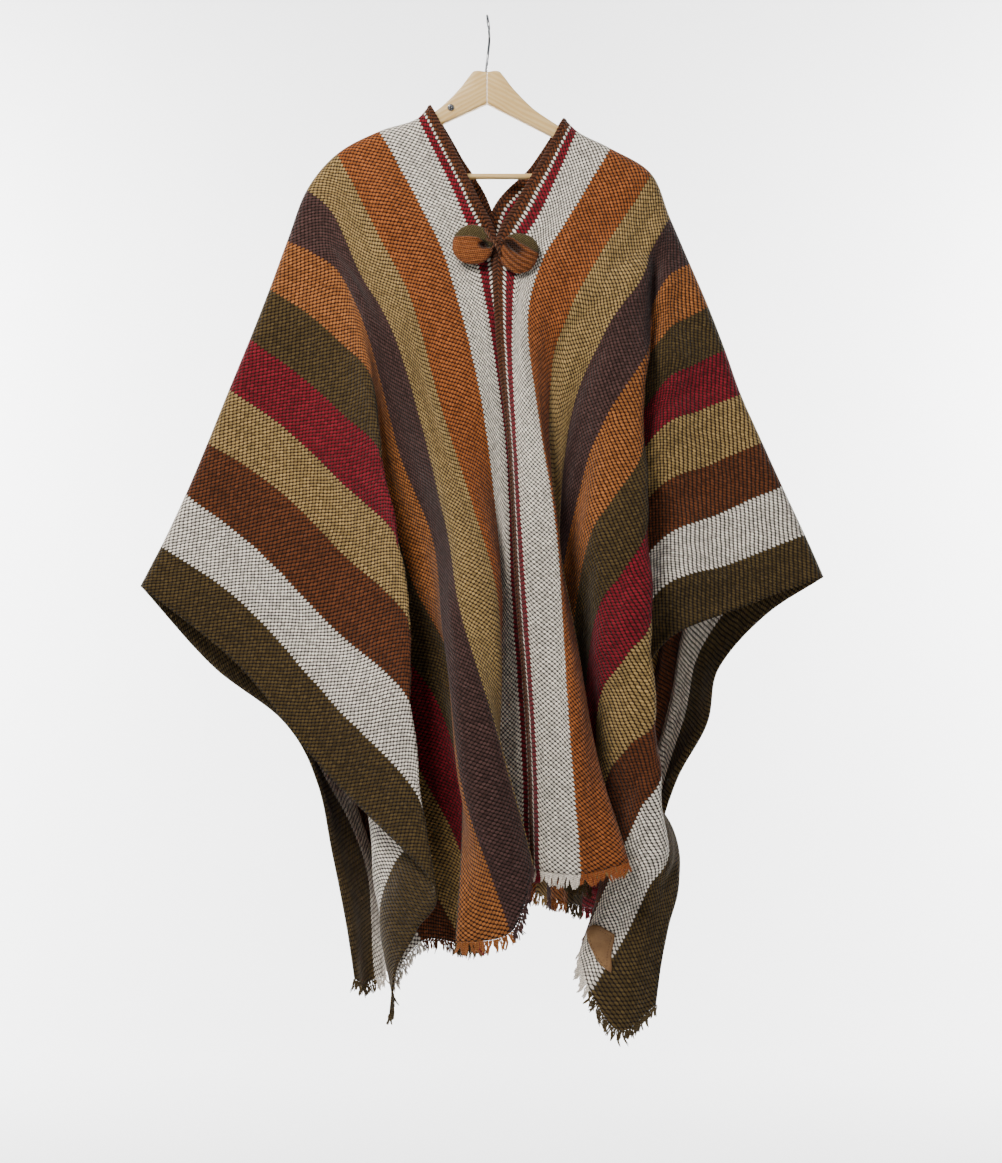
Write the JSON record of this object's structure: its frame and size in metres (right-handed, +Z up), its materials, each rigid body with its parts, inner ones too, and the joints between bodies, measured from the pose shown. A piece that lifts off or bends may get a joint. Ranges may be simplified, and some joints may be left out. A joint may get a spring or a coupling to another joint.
{
  "type": "open-front woven poncho on a wooden clothes hanger",
  "caption": "Open-front woven poncho in two striped lengths, joined down the back and held in front by a padded clasp, hanging on a wooden clothes hanger.",
  "frame": {"origin": "inner top of the hanger's hook, where a rail carries it", "axes": "+Z up; -Y is the wearer's front, which faces the viewer; +X towards the viewer's right; the hanger lies in the XZ plane"},
  "size_m": [0.9094, 0.332, 1.3467],
  "materials": {
    "striped_cloth": "coarse warp-faced wool weave in wide earth-coloured stripes, matt and a little hairy",
    "binding": "dark brown woven tape folded over the edge",
    "fringe": "short loose warp ends in the stripes' colours",
    "clasp": "gathered woven band in rust and olive",
    "leather": "smooth tan leather with a stitched edge",
    "wood": "pale varnished birch",
    "steel": "thin bright wire"
  },
  "bodies": {
    "root": {"left_panel": "striped_cloth", "right_panel": "striped_cloth", "binding_left": "binding", "binding_right": "binding", "fringe_front_left": "fringe", "fringe_front_right": "fringe", "fringe_back_left": "fringe", "fringe_back_right": "fringe", "clasp_left": "clasp", "clasp_right": "clasp", "clasp_knot": "clasp", "leather_patch": "leather", "hanger_arm_left": "wood", "hanger_arm_right": "wood", "hanger_bar": "wood", "hanger_hook": "steel", "hanger_screw": "steel"}
  },
  "joints": []
}
